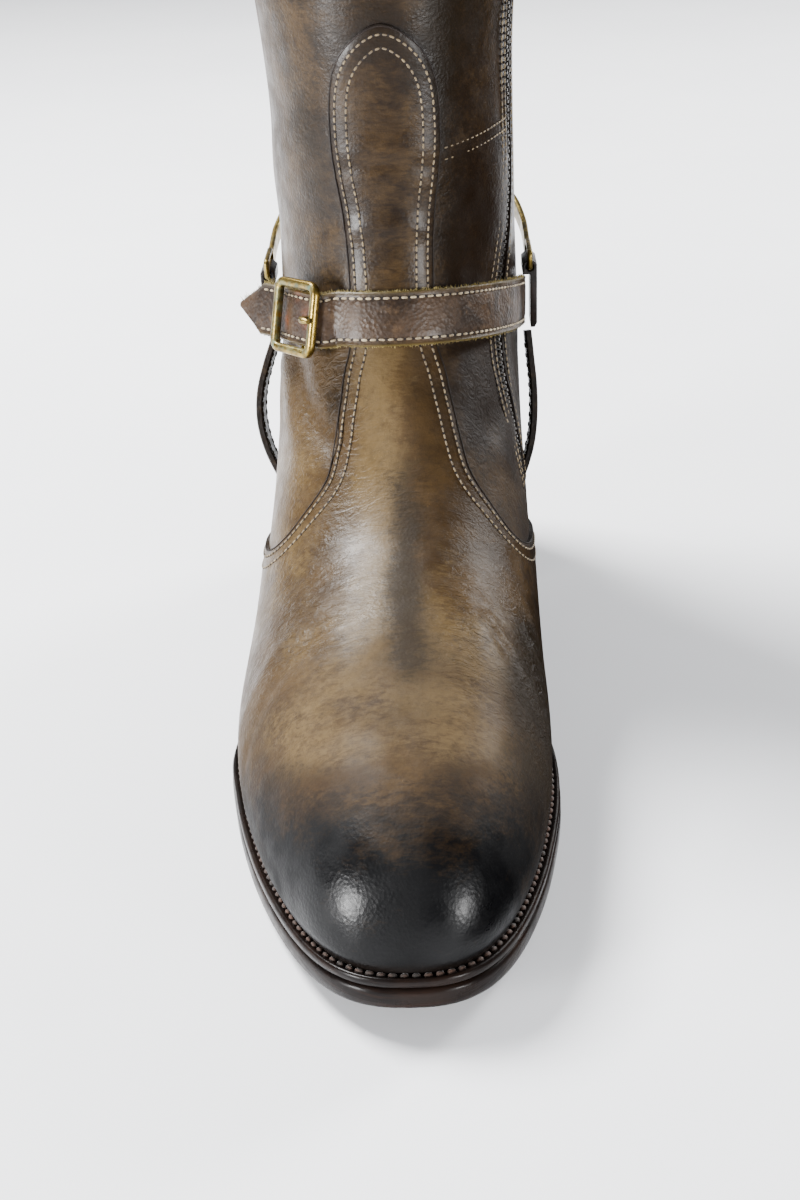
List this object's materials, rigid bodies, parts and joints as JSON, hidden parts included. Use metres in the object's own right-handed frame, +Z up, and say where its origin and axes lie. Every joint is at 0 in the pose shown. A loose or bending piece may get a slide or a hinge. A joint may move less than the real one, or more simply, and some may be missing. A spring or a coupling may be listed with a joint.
{
  "type": "leather ankle boot with harness strap",
  "caption": "Right leather boot with a welted sole, stacked heel, inside zip and a buckled ankle strap with a metal heel band, standing empty.",
  "frame": {"origin": "middle of the heel's tread, on the floor", "axes": "+Z up along the shaft, -Y towards the toe, +X towards the inside (medial side) of the foot"},
  "size_m": [0.1063, 0.2963, 0.32],
  "materials": {
    "upper_leather": "taupe brown, hand burnished to near black at the toe, semi-gloss",
    "strap_leather": "grained, worn, satin",
    "dark_leather": "dark brown, satin",
    "sole_leather": "dark brown edge dressing, glossy",
    "heel_leather": "stacked leather, dark edge dressing",
    "heel_rubber": "matt black rubber",
    "insole_leather": "natural vegetable tanned, matt",
    "brass": "antique brass with green patina",
    "zip_metal": "dark antique metal",
    "zip_tape": "black woven tape"
  },
  "bodies": {
    "boot": {"outsole": "sole_leather", "welt": "sole_leather", "heel_stack": "heel_leather", "heel_lift": "heel_rubber", "insole": "insole_leather", "upper": "upper_leather", "zip_chain": "zip_metal", "zip_tape": "zip_tape", "zip_slider": "zip_metal", "front_strap": "strap_leather", "buckle_strap": "strap_leather", "buckle_frame": "brass", "buckle_prong": "brass", "inside_tab": "dark_leather", "outside_tab": "dark_leather", "heel_band": "brass", "under_strap": "dark_leather"},
    "pull": {"zip_pull": "zip_metal"}
  },
  "joints": [
    {"name": "pull_hinge", "type": "hinge", "parent": "boot", "child": "pull", "pos_m": [0.04922, -0.03852, 0.31119], "axis": [-0.1659, -0.9861, 0.0129], "range_deg": [0, 165]}
  ]
}
